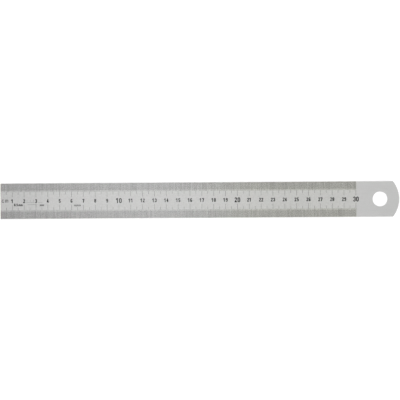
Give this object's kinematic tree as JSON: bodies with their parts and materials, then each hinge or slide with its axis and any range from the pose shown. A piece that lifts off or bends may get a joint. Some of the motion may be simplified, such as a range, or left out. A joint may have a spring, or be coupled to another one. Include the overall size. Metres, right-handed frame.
{
  "type": "steel ruler",
  "caption": "Flat stainless steel ruler with graduation marks along both edges, centimetre numerals down the middle, a square zero end, and a rounded end with a hanging hole.",
  "frame": {"origin": "middle of the back face, which is the bottom centre of the bounding box", "axes": "+X along the blade from the zero end towards the hanging hole, +Y across it towards the top of the numerals, +Z out of the scale face"},
  "size_m": [0.3364, 0.03, 0.001],
  "materials": {
    "steel": "satin stainless steel",
    "enamel": "baked black enamel with a soft gloss"
  },
  "bodies": {
    "root": {"blade": "steel", "upper_half_millimetre_marks": "enamel", "upper_millimetre_marks": "enamel", "upper_five_millimetre_marks": "enamel", "upper_centimetre_marks": "enamel", "lower_half_millimetre_marks": "enamel", "lower_millimetre_marks": "enamel", "lower_five_millimetre_marks": "enamel", "lower_centimetre_marks": "enamel", "numeral_1": "enamel", "numeral_2": "enamel", "numeral_3": "enamel", "numeral_4": "enamel", "numeral_5": "enamel", "numeral_6": "enamel", "numeral_7": "enamel", "numeral_8": "enamel", "numeral_9": "enamel", "numeral_10": "enamel", "numeral_11": "enamel", "numeral_12": "enamel", "numeral_13": "enamel", "numeral_14": "enamel", "numeral_15": "enamel", "numeral_16": "enamel", "numeral_17": "enamel", "numeral_18": "enamel", "numeral_19": "enamel", "numeral_20": "enamel", "numeral_21": "enamel", "numeral_22": "enamel", "numeral_23": "enamel", "numeral_24": "enamel", "numeral_25": "enamel", "numeral_26": "enamel", "numeral_27": "enamel", "numeral_28": "enamel", "numeral_29": "enamel", "numeral_30": "enamel", "unit_symbol": "enamel", "step_legend": "enamel", "hairlines": "enamel", "trim_strokes": "enamel"}
  },
  "joints": []
}
